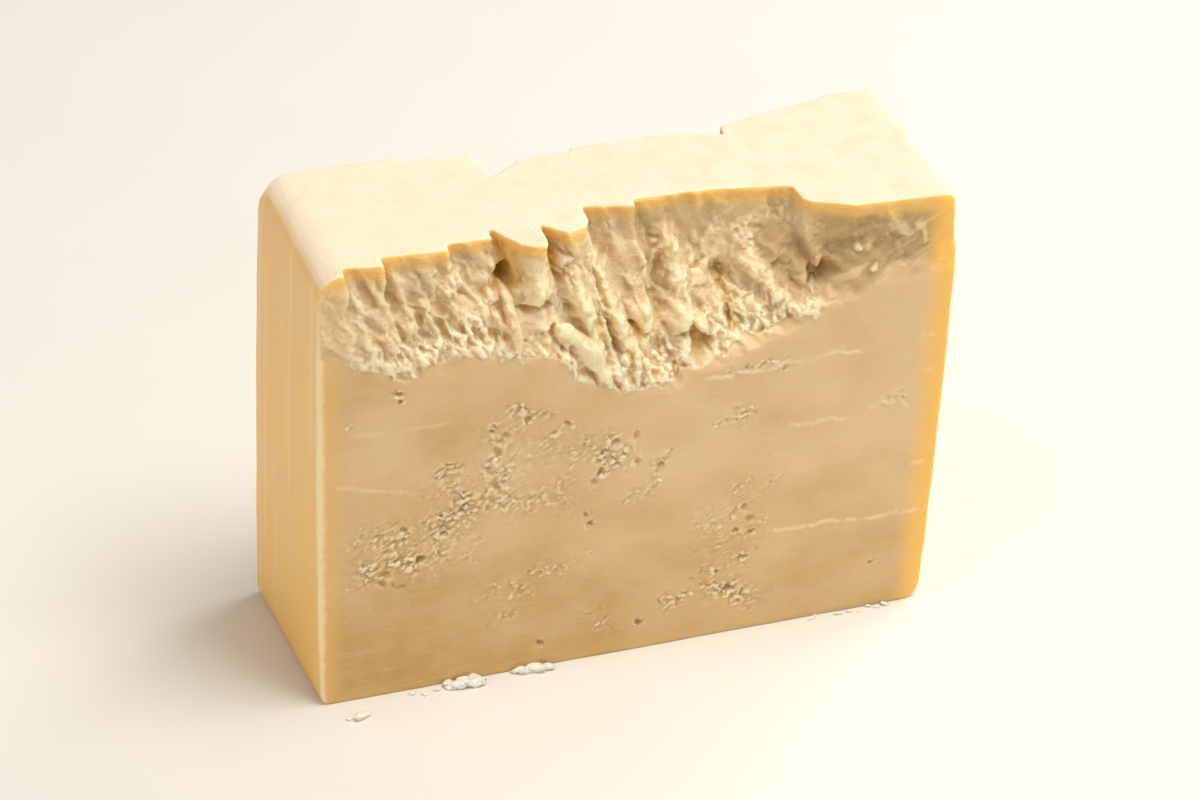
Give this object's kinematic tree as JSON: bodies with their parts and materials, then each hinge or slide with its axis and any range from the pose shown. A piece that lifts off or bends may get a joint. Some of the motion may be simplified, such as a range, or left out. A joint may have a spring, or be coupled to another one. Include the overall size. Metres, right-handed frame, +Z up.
{
  "type": "asiago cheese",
  "caption": "Upright slice of a pressed asiago cheese loaf: smooth rind on the narrow sides, knife-cut long faces that break into rough crags along the top.",
  "frame": {"origin": "middle of the base, on the surface the slice stands on", "axes": "+X along the length of the slice to the right of the broken front face, -Y out of that front face, +Z up"},
  "size_m": [0.1188, 0.0408, 0.0908],
  "materials": {
    "cheese": "satin"
  },
  "bodies": {
    "root": {"cheese_piece": "cheese"}
  },
  "joints": []
}
